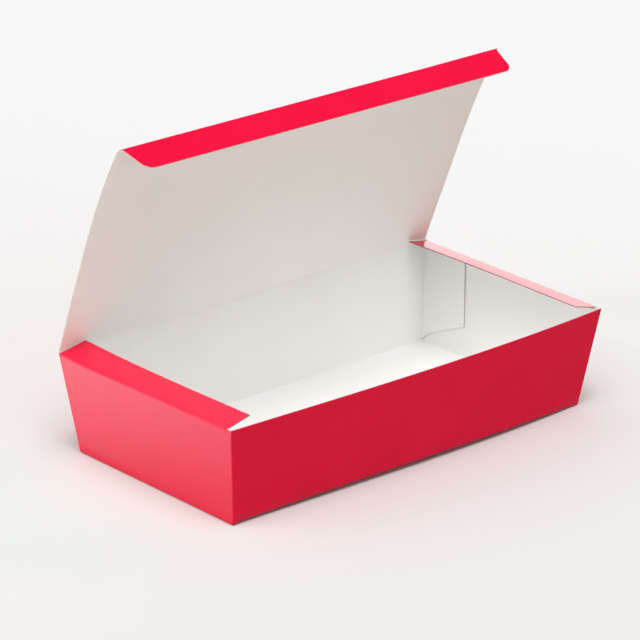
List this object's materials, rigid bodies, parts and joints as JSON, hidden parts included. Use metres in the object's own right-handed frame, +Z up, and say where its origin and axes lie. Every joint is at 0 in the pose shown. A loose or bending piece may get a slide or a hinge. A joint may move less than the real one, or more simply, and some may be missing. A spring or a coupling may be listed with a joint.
{
  "type": "folding snack box",
  "caption": "Flared cardboard snack box folded from one printed sheet, with a hinged lid, a tuck flap along the lid's front edge and a dust flap on each end wall.",
  "frame": {"origin": "centre of the underside of the base, on the surface that the box stands on", "axes": "+X along the long side towards the right end, +Y from the front wall to the wall with the lid hinge, +Z up"},
  "size_m": [0.2252, 0.1208, 0.1548],
  "materials": {
    "printed_board": "satin"
  },
  "bodies": {
    "tray": {"tray": "printed_board"},
    "lid": {"lid": "printed_board"},
    "lid_tuck_flap": {"lid_tuck_flap": "printed_board"},
    "left_dust_flap": {"left_dust_flap": "printed_board"},
    "right_dust_flap": {"right_dust_flap": "printed_board"}
  },
  "joints": [
    {"name": "lid_hinge", "type": "hinge", "parent": "tray", "child": "lid", "pos_m": [0, 0.05847, 0.0486], "axis": [-1, 0, 0], "range_deg": [-67.5, 112.5]},
    {"name": "tuck_flap_hinge", "type": "hinge", "parent": "lid", "child": "lid_tuck_flap", "pos_m": [0, 0.0146, 0.15452], "axis": [-1, 0, 0], "range_deg": [-6, 91.5]},
    {"name": "left_dust_flap_hinge", "type": "hinge", "parent": "tray", "child": "left_dust_flap", "pos_m": [-0.11166, 0, 0.0478], "axis": [0, -1, 0], "range_deg": [-13.5, 22.5]},
    {"name": "right_dust_flap_hinge", "type": "hinge", "parent": "tray", "child": "right_dust_flap", "pos_m": [0.11166, 0, 0.0478], "axis": [0, 1, 0], "range_deg": [-13.5, 22.5]}
  ],
  "couplings": [
    {"joint": "left_dust_flap_hinge", "follows": "lid_hinge", "ratio": 0.2},
    {"joint": "right_dust_flap_hinge", "follows": "lid_hinge", "ratio": 0.2}
  ]
}
